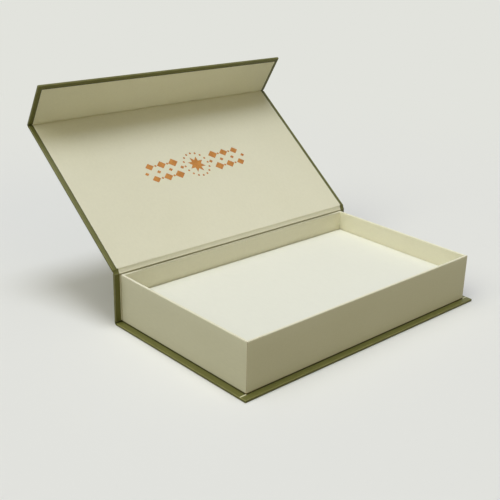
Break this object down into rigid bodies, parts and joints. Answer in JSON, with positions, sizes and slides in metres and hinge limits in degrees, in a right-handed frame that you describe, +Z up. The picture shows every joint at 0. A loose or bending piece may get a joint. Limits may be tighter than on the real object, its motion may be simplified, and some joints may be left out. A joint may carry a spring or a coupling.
{
  "type": "magnetic gift box",
  "caption": "Book-style rigid gift box with a hinged lid, a magnetic front flap and a lined tray with a lift-out raised floor.",
  "frame": {"origin": "underside of the base, on the table, below the centre of the tray", "axes": "+Z up; +X along the long side, to the right seen from the flap side; +Y towards the spine, so the flap closes on the -Y side"},
  "size_m": [0.314, 0.3289, 0.2076],
  "materials": {
    "olive_paper": "matte wrap paper with a fine linen grain",
    "cream_paper": "matte lining paper, faintly pearly",
    "white_card": "smooth folded card",
    "greyboard": "raw solid board",
    "tape": "gummed kraft tape",
    "glue": "dried glue on paper",
    "steel": "bright tinned steel",
    "magnet": "nickel-plated magnet"
  },
  "bodies": {
    "box": {"base_board": "greyboard", "base_wrap": "olive_paper", "tray_glue_sheet": "glue", "spine_board": "greyboard", "spine_wrap": "olive_paper", "spine_lining": "cream_paper", "lid_hinge_strip": "olive_paper", "tray_floor_board": "greyboard", "tray_front_board": "greyboard", "tray_back_board": "greyboard", "tray_left_board": "greyboard", "tray_right_board": "greyboard", "tray_corner_tapes": "tape", "tray_wrap": "cream_paper", "tray_floor_lining": "cream_paper", "tray_steel_discs": "steel"},
    "lid": {"lid_board": "greyboard", "lid_wrap": "olive_paper", "lid_lining": "cream_paper", "flap_hinge_strip": "olive_paper"},
    "flap": {"flap_board": "greyboard", "flap_wrap": "olive_paper", "flap_lining": "cream_paper", "flap_magnets": "magnet"},
    "insert": {"insert_platform": "white_card", "insert_ribs": "white_card"}
  },
  "joints": [
    {"name": "lid_hinge", "type": "hinge", "parent": "box", "child": "lid", "pos_m": [0, 0.0898, 0.0537], "axis": [1, 0, 0], "range_deg": [-37.7, 142.3]},
    {"name": "flap_hinge", "type": "hinge", "parent": "lid", "child": "flap", "pos_m": [0, 0.23254, 0.16402], "axis": [1, 0, 0], "range_deg": [-82.8, 7.2]},
    {"name": "insert_lift", "type": "slide", "parent": "box", "child": "insert", "axis": [0, 0, 1], "range_m": [0, 0.02]}
  ]
}
